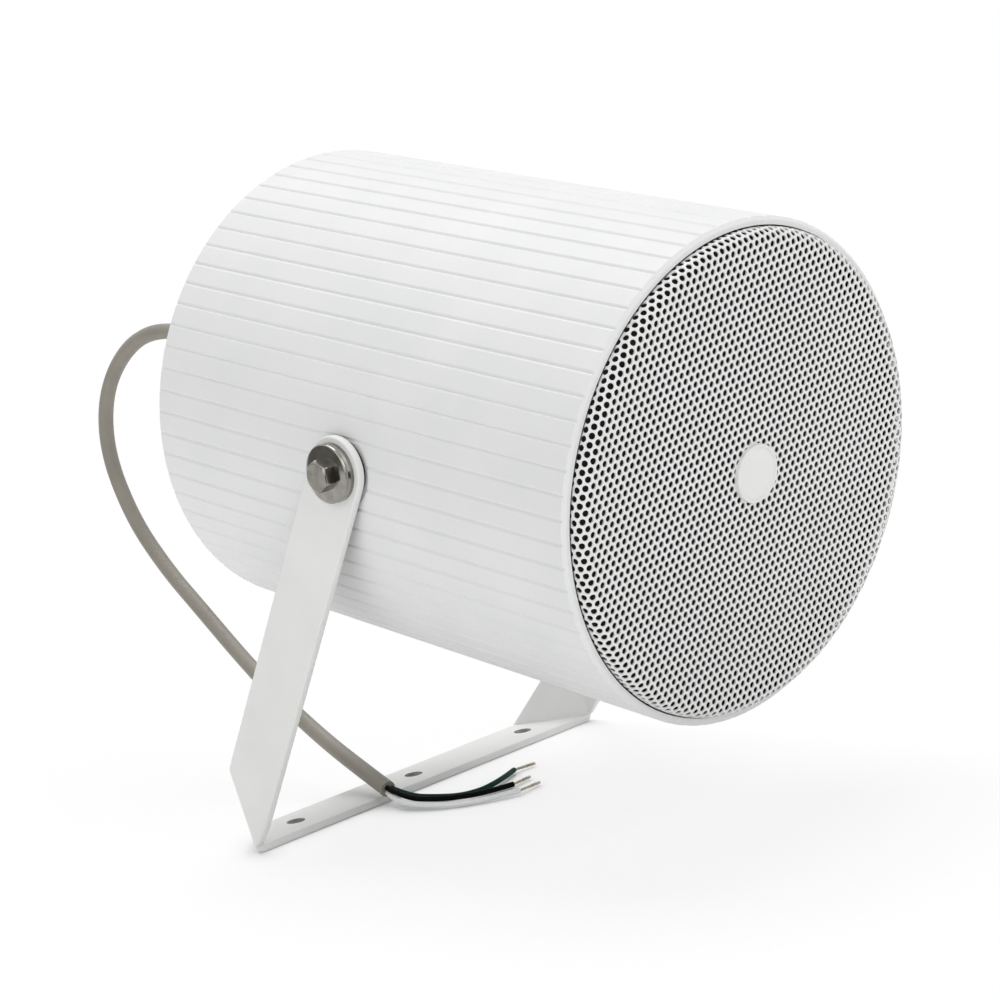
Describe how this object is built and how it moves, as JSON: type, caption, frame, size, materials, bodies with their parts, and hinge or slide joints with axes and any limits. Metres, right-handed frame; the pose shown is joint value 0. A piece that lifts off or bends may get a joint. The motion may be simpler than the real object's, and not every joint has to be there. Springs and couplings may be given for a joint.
{
  "type": "sound projector speaker",
  "caption": "Ribbed cylindrical sound projector speaker with a perforated round front, tilting between the arms of a folded strip bracket, with a free cable at the back.",
  "frame": {"origin": "centre of the underside of the bracket's base, between its fixing holes", "axes": "+X the way the speaker faces, +Y along the base strip, +Z away from the surface that the base is fixed to"},
  "size_m": [0.388, 0.201, 0.2497],
  "materials": {
    "white_coat": "satin white powder coat on aluminium",
    "white_grille": "satin white powder coat on steel sheet",
    "white_strip": "satin white powder coat on steel strip",
    "steel": "zinc plated",
    "bright_steel": "bright stainless",
    "black_metal": "matte black paint",
    "lamination": "varnished laminations",
    "ferrite": "dull ferrite",
    "copper_coil": "enamelled copper",
    "tinned_copper": "tinned strands",
    "black_rubber": "matte",
    "grey_plastic": "moulded",
    "black_plastic": "moulded",
    "badge_plastic": "moulded, bare",
    "winding_tape": "tape over copper winding",
    "cone_paper": "pressed paper pulp",
    "spider_cloth": "treated cloth",
    "black_cloth": "open weave",
    "grey_jacket": "matte cable jacket",
    "green_insulation": "satin insulation",
    "black_insulation": "satin insulation",
    "white_insulation": "satin insulation"
  },
  "bodies": {
    "bracket": {"bracket": "white_strip", "cable": "grey_jacket", "wire_green": "green_insulation", "wire_black": "black_insulation", "wire_white": "white_insulation", "wire_tips": "tinned_copper"},
    "speaker": {"housing": "white_coat", "rear_cap": "white_coat", "cap_gasket": "black_rubber", "cap_screws": "steel", "gland_body": "grey_plastic", "gland_nut": "grey_plastic", "gland_seal": "black_rubber", "gland_locknut": "grey_plastic", "transformer_core": "lamination", "transformer_winding": "winding_tape", "transformer_frame": "steel", "transformer_screws": "steel", "terminal_block": "black_plastic", "baffle": "black_plastic", "baffle_screws": "steel", "driver_basket": "black_metal", "driver_screws": "steel", "driver_gasket": "black_rubber", "surround": "black_rubber", "cone": "cone_paper", "dust_cap": "cone_paper", "spider": "spider_cloth", "voice_coil": "copper_coil", "top_plate": "steel", "magnet": "ferrite", "yoke": "steel", "grille": "white_grille", "badge": "badge_plastic", "dust_screen": "black_cloth", "pivot_bolts": "bright_steel", "flat_washers": "bright_steel", "spring_washers": "bright_steel", "friction_washers": "black_rubber", "pivot_nuts": "steel"}
  },
  "joints": [
    {"name": "tilt", "type": "hinge", "parent": "bracket", "child": "speaker", "pos_m": [0.0977, 0, 0.14348], "axis": [0, -1, 0], "range_deg": [-77.5, 60], "deforming": ["cable"]}
  ]
}
